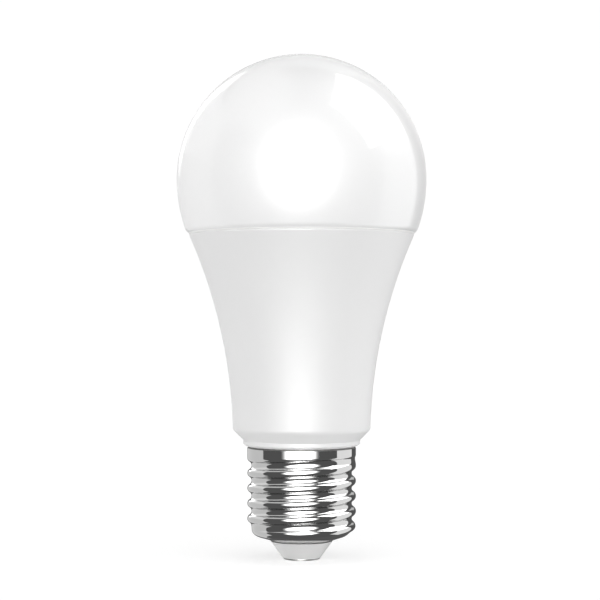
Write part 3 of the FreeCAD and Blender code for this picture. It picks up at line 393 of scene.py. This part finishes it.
def make_materials():
    opal_globe()
    white_housing()
    nickel_plate()
    worn_contact()
    insulator_plastic()
    turned_metal("cup_aluminium", (0.72, 0.73, 0.74), 0.32, 0.3)
    plain("white_silicone", (0.93, 0.93, 0.92), 0.45, mottle_mm=2.0, grain_mm=0.6, grain=0.3)
    plain("liner_plastic", (0.78, 0.76, 0.68), 0.45, mottle=0.06)
    plain("thermal_silicone", (0.42, 0.50, 0.58), 0.7, mottle=0.15, mottle_mm=0.4, grain=0.4)
    board_mask("white_solder_mask", (0.84, 0.85, 0.85), (0.76, 0.77, 0.765), 2.2, 0.28)
    board_mask("black_solder_mask", (0.012, 0.014, 0.013), (0.03, 0.034, 0.03), 0.9, 0.3)
    board_mask("green_solder_mask", (0.02, 0.13, 0.05), (0.06, 0.26, 0.09), 1.8, 0.25)
    plain("zinc_steel", (0.66, 0.66, 0.64), 0.26, 1.0, mottle=0.12, mottle_mm=1.0, grain=0.2)
    plain("led_package", (0.88, 0.88, 0.86), 0.5, mottle_mm=1.0, grain=0.2)
    plain("cool_phosphor", (0.93, 0.80, 0.16), 0.35, mottle=0.12, mottle_mm=0.25, grain_mm=0.12)
    plain("warm_phosphor", (0.92, 0.52, 0.07), 0.35, mottle=0.12, mottle_mm=0.25, grain_mm=0.12)
    plain("clear_led_package", (0.88, 0.88, 0.86), 0.42, mottle_mm=1.0, grain=0.2)
    plain("chip_moulding", (0.022, 0.022, 0.024), 0.55, mottle=0.2, mottle_mm=0.5, grain=0.35)
    plain("crystal_can", (0.70, 0.68, 0.62), 0.3, 1.0, mottle=0.08, mottle_mm=1.0, stretch=(8, 1, 1))
    plain("chip_ceramic", (0.42, 0.30, 0.20), 0.6, mottle=0.2, mottle_mm=0.4, grain=0.3)
    plain("solder", (0.66, 0.67, 0.68), 0.24, 1.0, mottle=0.15, mottle_mm=0.6, grain_mm=0.3, grain=0.3)
    plain("header_plastic", (0.02, 0.02, 0.02), 0.45, mottle=0.2, grain=0.25)
    plain("pin_gilding", (0.86, 0.62, 0.25), 0.2, 1.0, mottle=0.08, mottle_mm=0.8)
    plain("tinned_wire", (0.72, 0.72, 0.70), 0.24, 1.0, mottle=0.1, mottle_mm=0.8)
    striped_sleeve()
    plain("blue_epoxy", (0.03, 0.10, 0.36), 0.22, mottle=0.15, mottle_mm=1.2, grain_mm=0.8, grain=0.3)
    plain("ferrite", (0.045, 0.045, 0.05), 0.6, mottle=0.25, mottle_mm=0.3, grain=0.5)
    wound("enamelled_copper", (0.62, 0.25, 0.08), 0.28, 1.0, "Y", 0.32)
    wound("yellow_tape", (0.85, 0.60, 0.05), 0.35, 0.0, "X", 3.4)
    plain("film_capacitor_case", (0.42, 0.03, 0.02), 0.3, mottle=0.12, grain=0.2)
    plain("resistor_lacquer", (0.08, 0.26, 0.19), 0.35, mottle=0.15, mottle_mm=0.8, grain=0.3)
    plain("brown_insulation", (0.13, 0.045, 0.018), 0.4, mottle=0.1, grain=0.15)
    plain("blue_insulation", (0.02, 0.07, 0.34), 0.4, mottle=0.1, grain=0.15)
    plain("led_die_blue", (0.30, 0.36, 0.50), 0.2, 0.6, mottle=0.2, mottle_mm=0.1)
    plain("led_die_red", (0.52, 0.20, 0.14), 0.25, 0.5, mottle=0.2, mottle_mm=0.1)
    plain("led_die_green", (0.28, 0.46, 0.36), 0.2, 0.6, mottle=0.2, mottle_mm=0.1)


make_materials()

NODE_MATERIAL = {
    "cool_white_leds": "led_package",
    "warm_white_leds": "led_package",
    "centre_contact": "worn_contact",
}
slot_of = {part["node"]: part["material_slot"] for part in frame["record"]["subparts"]}
for node, obj in frame["nodes"].items():
    chosen = MATERIALS[NODE_MATERIAL.get(node, slot_of[node])]
    obj.data.materials.clear()
    obj.data.materials.append(chosen)

# ---- Small parts built for the looks -----------------------------------------------------------


def piece(name, bm, body, slot, look=None):
    """Turns a bmesh into a named piece that rides on a body."""
    bmesh.ops.recalc_face_normals(bm, faces=bm.faces)
    mesh = bpy.data.meshes.new(name)
    bm.to_mesh(mesh)
    bm.free()
    obj = bpy.data.objects.new(name, mesh)
    bpy.context.scene.collection.objects.link(obj)
    mesh.materials.append(MATERIALS[look or slot])
    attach(obj, body)
    return obj


def islands(node):
    """The separate solids of a CAD node, as (low corner, high corner, centre) each."""
    mesh = frame["nodes"][node].data
    parent = list(range(len(mesh.vertices)))

    def root(i):
        while parent[i] != i:
            parent[i] = parent[parent[i]]
            i = parent[i]
        return i

    seen = {}
    for v in mesh.vertices:
        key = tuple(round(c, 7) for c in v.co)
        parent[v.index] = root(seen.setdefault(key, v.index))
    for edge in mesh.edges:
        a, b = (root(i) for i in edge.vertices)
        parent[a] = b
    groups = {}
    for v in mesh.vertices:
        groups.setdefault(root(v.index), []).append(v.co)
    boxes = []
    for points in groups.values():
        low = Vector([min(p[k] for p in points) for k in range(3)])
        high = Vector([max(p[k] for p in points) for k in range(3)])
        boxes.append((low, high, (low + high) / 2))
    return boxes


def add_turned(bm, outline, centre, steps=40, closed=False):
    """Adds a turned form: outline is (radius, z) pairs from axis to axis, or round a ring's section."""
    turns = [2 * math.pi * k / steps for k in range(steps)]
    rings = []
    for radius, z in outline:
        if radius < 1e-9:
            rings.append([bm.verts.new((centre[0], centre[1], z))])
            continue
        ring = [(centre[0] + radius * math.cos(t), centre[1] + radius * math.sin(t), z) for t in turns]
        rings.append([bm.verts.new(p) for p in ring])
    following = rings[1:] + rings[:1] if closed else rings[1:]
    for lower, upper in zip(rings, following):
        for k in range(steps):
            j = (k + 1) % steps
            foot = [lower[k % len(lower)], lower[j % len(lower)]]
            head = [upper[j % len(upper)], upper[k % len(upper)]]
            bm.faces.new(list(dict.fromkeys(foot + head)))


def add_block(bm, centre, size, turn=0.0, bevel=0.0):
    """Adds a box turned about Z, with its edges bevelled."""
    made = bmesh.ops.create_cube(bm, size=1.0)
    verts = made["verts"]
    placing = Matrix.Translation(centre) @ Matrix.Rotation(turn, 4, "Z") @ Matrix.Diagonal((*size, 1.0))
    bmesh.ops.transform(bm, matrix=placing, verts=verts)
    if bevel:
        edges = {edge for v in verts for edge in v.link_edges}
        bmesh.ops.bevel(bm, geom=list(edges), offset=bevel, segments=2, affect="EDGES", profile=0.5)


def smooth(made, sharp_degrees):
    """Shades a piece smooth, except at edges sharper than this."""
    made.data.shade_smooth()
    made.data.set_sharp_from_angle(angle=math.radians(sharp_degrees))


def phosphor_fill(name, node, slot):
    """Silicone with phosphor in the round window of each white LED, sunk a little in the middle."""
    radius, depth, below_rim, sunk = 1.16 * MM, 0.198 * MM, 0.01 * MM, 0.06 * MM
    bm = bmesh.new()
    for _, high, centre in islands(node):
        bottom, rim = high.z - depth, high.z - below_rim
        outline = [(0, bottom), (radius, bottom), (radius, rim)]
        outline += [(radius * s, rim - sunk * (1 - s * s)) for s in (0.9, 0.75, 0.55, 0.3)]
        outline.append((0, rim - sunk))
        add_turned(bm, outline, centre)
    smooth(piece(name, bm, "lamp_base", slot), 35)


def add_fillet(bm, placing, base, reach):
    """Adds one solder fillet: a wedge with a hollow slope, from base out along X by reach."""
    half_width, height, toe = 0.42 * MM, 0.32 * MM, 0.004 * MM
    profile = [base + Vector((0, 0, 0.001 * MM))]
    profile += [base + Vector((reach * s, 0, height * (1 - s) ** 2 + toe)) for s in (0.0, 0.35, 0.7, 1.0)]
    near = [bm.verts.new(placing @ (p + Vector((0, -half_width, 0)))) for p in profile]
    far = [bm.verts.new(placing @ (p + Vector((0, half_width, 0)))) for p in profile]
    bm.faces.new(near)
    bm.faces.new(far)
    for k in range(len(profile)):
        j = (k + 1) % len(profile)
        bm.faces.new((near[k], near[j], far[j], far[k]))


def led_solder(name, nodes, length_mm, pads, reach_mm):
    """Solder fillets at both ends of each LED, along the board's radius."""
    bm = bmesh.new()
    leds = [box for node in nodes for box in islands(node)]
    for low, _, centre in leds:
        placing = Matrix.Rotation(math.atan2(centre.y, centre.x), 4, "Z")
        for side in (-1, 1):
            for offset in pads:
                out = Vector(centre.xy).length + side * length_mm / 2 * MM
                base = Vector((out, offset * MM, low.z))
                add_fillet(bm, placing, base, side * reach_mm * MM)
    piece(name, bm, "lamp_base", "solder")


def add_bond_wires(wires, turn, x, y, bottom):
    """Adds the two wires that run from a die's top down to the metal beside it; x and y are in mm."""
    for way in (-1, 1):
        start = Vector((x * MM, (y + way * 0.12) * MM, bottom + 0.155 * MM))
        end_x = x + math.copysign(0.42, x)
        end = Vector((end_x * MM, (y + way * 0.34) * MM, bottom + 0.04 * MM))
        top = (start + end) / 2 + Vector((0, 0, 0.12 * MM))
        spline = wires.splines.new("BEZIER")
        spline.bezier_points.add(2)
        for point, place in zip(spline.bezier_points, (start, top, end)):
            point.co = turn @ place
            point.handle_left_type = point.handle_right_type = "AUTO"


def colour_led_insides():
    """Dies, the metal they stand on and their bond wires, in the window of each colour LED."""
    window_depth, lead_top, lead_size = 0.35 * MM, 0.05 * MM, (1.06 * MM, 1.06 * MM, 0.04 * MM)
    die_size, die_bevel = (0.46 * MM, 0.46 * MM, 0.11 * MM), 0.01 * MM
    off = 0.62  # each die's offset from the window's middle, in mm
    places = {"led_die_red": (-off, off), "led_die_green": (off, off)}
    places.update({"led_die_blue": (-off, -off), "cool_phosphor": (off, -off)})
    leads = bmesh.new()
    dies = {look: bmesh.new() for look in places}
    wires = bpy.data.curves.new("led_bond_wires", "CURVE")
    wires.dimensions = "3D"
    wires.bevel_depth = 0.022 * MM
    for _, high, centre in islands("colour_leds"):
        angle = math.atan2(centre.y, centre.x)
        turn = Matrix.Translation((centre.x, centre.y, 0)) @ Matrix.Rotation(angle, 4, "Z")
        bottom = high.z - window_depth
        for look, (x, y) in places.items():
            foot = turn @ Vector((x * MM, y * MM, bottom + lead_top))
            add_block(leads, foot - Vector((0, 0, 0.029 * MM)), lead_size, angle)
            add_block(dies[look], foot + Vector((0, 0, 0.05 * MM)), die_size, angle, die_bevel)
            add_bond_wires(wires, turn, x, y, bottom)
    piece("colour_led_leadframes", leads, "lamp_base", "solder")
    for look, bm in dies.items():
        name = look + "_dies" if look.startswith("led") else "white_channel_dies"
        piece(name, bm, "lamp_base", "clear_led_package", look)
    threads = bpy.data.objects.new("led_bond_wires", wires)
    bpy.context.scene.collection.objects.link(threads)
    wires.materials.append(MATERIALS["pin_gilding"])
    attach(threads, "lamp_base")


def on_module_front():
    """The Y that puts the middle of a printed trace just on the radio module's front face."""
    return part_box("radio_module_board")[0].y - TRACE_THICKNESS / 2 + 0.001 * MM


def antenna():
    """The printed antenna near the module's top edge: one gilt trace that doubles back on itself."""
    low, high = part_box("radio_module_board")
    wide, pitch, passes = 0.45 * MM, 1.15 * MM, 10
    top, foot = high.z - 0.9 * MM, high.z - 4.4 * MM
    left, feed_length = low.x + 1.3 * MM, 2.0 * MM
    corners = [(left, foot - 0.6 * MM), (left, top)]
    for k in range(1, passes + 1):
        x = left + k * pitch
        corners += [(x, corners[-1][1]), (x, foot if k % 2 else top)]
    bm = bmesh.new()
    for (x0, z0), (x1, z1) in zip(corners, corners[1:]):
        centre = Vector(((x0 + x1) / 2, on_module_front(), (z0 + z1) / 2))
        add_block(bm, centre, (abs(x1 - x0) + wide, TRACE_THICKNESS, abs(z1 - z0) + wide))
    feed = Vector((left + 2 * pitch, on_module_front(), foot - feed_length / 2))
    add_block(bm, feed, (wide, TRACE_THICKNESS, feed_length))
    piece("printed_antenna", bm, "lamp_base", "pin_gilding")


def module_pads():
    """Gilt pads along the module's lower edge, above its solder joints."""
    wide, tall, above_joint = 1.1 * MM, 0.9 * MM, 0.25 * MM
    bm = bmesh.new()
    for _, high, centre in islands("radio_solder_joints"):
        middle = Vector((centre.x, on_module_front(), high.z + above_joint))
        add_block(bm, middle, (wide, TRACE_THICKNESS, tall))
    piece("module_pads", bm, "lamp_base", "pin_gilding")


def seam_sealant():
    """The little silicone that squeezes out at the seam, a fine bead under the globe's rounded edge."""
    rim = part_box("housing_shell")[1].z
    crown_r, crown_z, reach = 26.84 * MM, rim + 0.12 * MM, 0.25 * MM
    inner_r, inner_top, foot = 26.45 * MM, rim + 0.36 * MM, rim - 0.02 * MM
    angles = [math.radians(a) for a in range(-60, 91, 15)]
    outline = [(crown_r + reach * math.cos(a), crown_z + reach * math.sin(a)) for a in angles]
    outline += [(inner_r, inner_top), (inner_r, foot)]
    bm = bmesh.new()
    add_turned(bm, outline, (0.0, 0.0), 240, closed=True)
    smooth(piece("seam_sealant", bm, "lamp_base", "white_silicone"), 50)


phosphor_fill("cool_phosphor_fill", "cool_white_leds", "cool_phosphor")
phosphor_fill("warm_phosphor_fill", "warm_white_leds", "warm_phosphor")
led_solder("white_led_solder", ("cool_white_leds", "warm_white_leds"), 2.8, (0.0,), 0.4)
led_solder("colour_led_solder", ("colour_leds",), 5.0, (-1.6, 0.0, 1.6), 0.45)
colour_led_insides()
antenna()
module_pads()
seam_sealant()

# ---- Floor, light and camera -------------------------------------------------------------------

FLOOR_REACH = 6.0  # from the bulb to the floor's edge, in metres
CAMERA_DISTANCE = 0.410
CAMERA_HEIGHT = 0.05604
CAMERA_TILT = 90.84  # degrees from straight down; the camera looks up a little
CAMERA_TURN = 0.055
BACKDROP = 1.02  # how bright the studio's wall looks behind the bulb
STUDIO_GREY = 0.12  # what polished surfaces see between the lights
KEY_HEADING = (-3, 9)  # azimuth and elevation of the key light's middle

# The soft boxes: strength, the corners' azimuths and elevations, and how soft the edges are, in degrees.
SOFT_BOXES = (
    (3.6, ((48, 62), (150, 58), (128, 21), (68, 21)), 1.5),
    (1.12, ((81, 22), (129, 22), (140, -45), (79, -45)), 1.5),
    (1.5, ((80, 22), (129, 22), (130, 14), (79, 14)), 8.0),
    (0.75, ((-35, 77), (-35, 38), (-95, 34), (-160, 38), (-160, 77)), 6.0),
    (0.8, ((-90, 10), (-157, 10), (-157, -40), (-85, -40)), 1.5),
    (1.0, ((-95, 37), (-155, 35), (-157, 10), (-90, 10)), 1.5),
    (2.6, ((-148, 37), (-163, 35), (-163, 6), (-148, 6)), 8.0),
    (0.8, ((-146, 8), (-164, 8), (-164, -40), (-146, -40)), 5.0),
)


def floor_material():
    """Pale and matte; polished surfaces and a camera below the floor see through it."""
    graph, surface = plain("pale_floor", (0.60, 0.60, 0.60), 0.6, mottle=0.01, mottle_mm=60, grain=0.0)
    path = graph.add("LightPath").outputs
    seen = path["Is Camera Ray"]
    mottled = surface.inputs["Base Color"].links[0].from_socket
    tone = graph.mix(seen, (0.88, 0.88, 0.88, 1), mottled)
    graph.fill(surface, Specular_IOR_Level=0.0, Base_Color=tone)
    graph.fill(surface, Emission_Color=WHITE, Emission_Strength=graph.times(seen, 0.51))
    from_below = graph.add("NewGeometry").outputs["Backfacing"]
    hidden = graph.largest([from_below, path["Is Glossy Ray"]])
    clear = graph.add("BsdfTransparent")
    both = graph.add("MixShader")
    for socket, value in zip(both.inputs, (hidden, surface.outputs[0], clear.outputs[0])):
        graph.feed(socket, value)
    output = next(n for n in graph.tree.nodes if n.type == "OUTPUT_MATERIAL")
    graph.feed(output.inputs["Surface"], both.outputs[0])


def floor():
    """A wide flat floor at the bulb's foot."""
    floor_material()
    bm = bmesh.new()
    bmesh.ops.create_grid(bm, x_segments=8, y_segments=8, size=FLOOR_REACH)
    mesh = bpy.data.meshes.new("floor")
    bm.to_mesh(mesh)
    bm.free()
    obj = bpy.data.objects.new("floor", mesh)
    obj.location.z = CAD_BOX[0].z
    bpy.context.scene.collection.objects.link(obj)
    mesh.materials.append(MATERIALS["pale_floor"])


def heading(azimuth, elevation):
    """The direction at an azimuth (0 at the camera, 90 to the right) and elevation, in degrees."""
    a, e = math.radians(azimuth), math.radians(elevation)
    return Vector((math.cos(e) * math.sin(a), -math.cos(e) * math.cos(a), math.sin(e)))


def soft_box(graph, direction, strength, corners, soft=1.5):
    """A flat panel of light whose corners lie at these (azimuth, elevation) pairs, in order round it."""
    rays = [heading(*corner) for corner in corners]
    middle = sum(rays, Vector())
    edge = math.sin(math.radians(soft / 2))
    shape = strength
    for start, end in zip(rays, rays[1:] + rays[:1]):
        across = start.cross(end).normalized()
        if across.dot(middle) < 0:
            across.negate()
        shape = graph.times(graph.rise(graph.dot(direction, across), -edge, edge), shape)
    return shape


def mirrored_studio(graph, direction, azimuth, elevation, off_key):
    """What polished surfaces see: a dark grey studio with soft boxes round the camera.

    off_key is the angle from the middle of the key light, in degrees.
    """
    glare = graph.times(graph.rise(off_key, 39.0, 9.0), 10.0)
    spread = graph.times(graph.rise(off_key, 46.0, 26.0), 1.7)
    behind = graph.rise(graph.math("ABSOLUTE", azimuth), 146.0, 156.0)
    back_wall = graph.times(graph.times(behind, graph.within(elevation, 10.0, 60.0, 8.0)), 0.7)
    panels = [soft_box(graph, direction, *box) for box in SOFT_BOXES]
    return graph.largest([graph.plus(glare, spread), back_wall, *panels, STUDIO_GREY])


def soft_studio(graph, azimuth, elevation, toward_key):
    """What all other surfaces see: even light, a little brighter in front and right, less from above."""
    front = graph.times(graph.rise(toward_key, -0.4, 1.0), 0.50)
    right = graph.times(graph.within(azimuth, 55.0, 150.0, 40.0), 0.18)
    top = graph.times(graph.rise(elevation, 30.0, 80.0), -0.50)
    return graph.plus(graph.plus(graph.plus(front, right), top), 0.81)


def turned_with_camera(graph):
    """The world's direction, turned about Z by as much as the camera is, so the light follows it."""
    turn = graph.add("VectorRotate", rotation_type="Z_AXIS", invert=True)
    graph.feed(turn.inputs["Vector"], graph.add("TexCoord").outputs["Generated"])
    driver = turn.inputs["Angle"].driver_add("default_value").driver
    driver.type = "SUM"
    follow = driver.variables.new()
    follow.type = "TRANSFORMS"
    follow.targets[0].id = bpy.context.scene.camera
    follow.targets[0].transform_type = "ROT_Z"
    follow.targets[0].transform_space = "WORLD_SPACE"
    return turn.outputs[0]


def studio_world():
    """A soft white studio that turns with the camera, seen sharply only in polished surfaces."""
    world = bpy.data.worlds.new("studio")
    bpy.context.scene.world = world
    world.use_nodes = True
    world.cycles.sampling_method = "NONE"
    graph = Graph(world.node_tree)
    direction = turned_with_camera(graph)
    x, y, z = graph.split(direction)
    azimuth = graph.times(graph.math("ARCTAN2", x, graph.times(y, -1.0)), DEGREES)
    elevation = graph.times(graph.math("ARCSINE", z), DEGREES)
    toward_key = graph.dot(direction, heading(*KEY_HEADING))
    off_key = graph.times(graph.math("ARCCOSINE", toward_key), DEGREES)
    mirrored = mirrored_studio(graph, direction, azimuth, elevation, off_key)
    soft = soft_studio(graph, azimuth, elevation, toward_key)
    path = graph.add("LightPath").outputs
    light = graph.mix(path["Is Glossy Ray"], soft, mirrored)
    light = graph.mix(path["Is Camera Ray"], light, rgba([BACKDROP] * 3))
    background = graph.add("Background")
    graph.fill(background, Color=light, Strength=1.0)
    graph.feed(graph.add("OutputWorld").inputs["Surface"], background.outputs[0])


def camera():
    """The photograph's view: from the front at the height of the housing's middle."""
    data = bpy.data.cameras.new("camera")
    data.sensor_width = 36.0
    data.lens = 102.3
    obj = bpy.data.objects.new("camera", data)
    obj.location = (0.0, -CAMERA_DISTANCE, CAMERA_HEIGHT)
    obj.rotation_euler = (math.radians(CAMERA_TILT), 0.0, math.radians(CAMERA_TURN))
    bpy.context.scene.collection.objects.link(obj)
    bpy.context.scene.camera = obj


floor()
camera()
studio_world()
bpy.context.scene.view_settings.view_transform = "Standard"
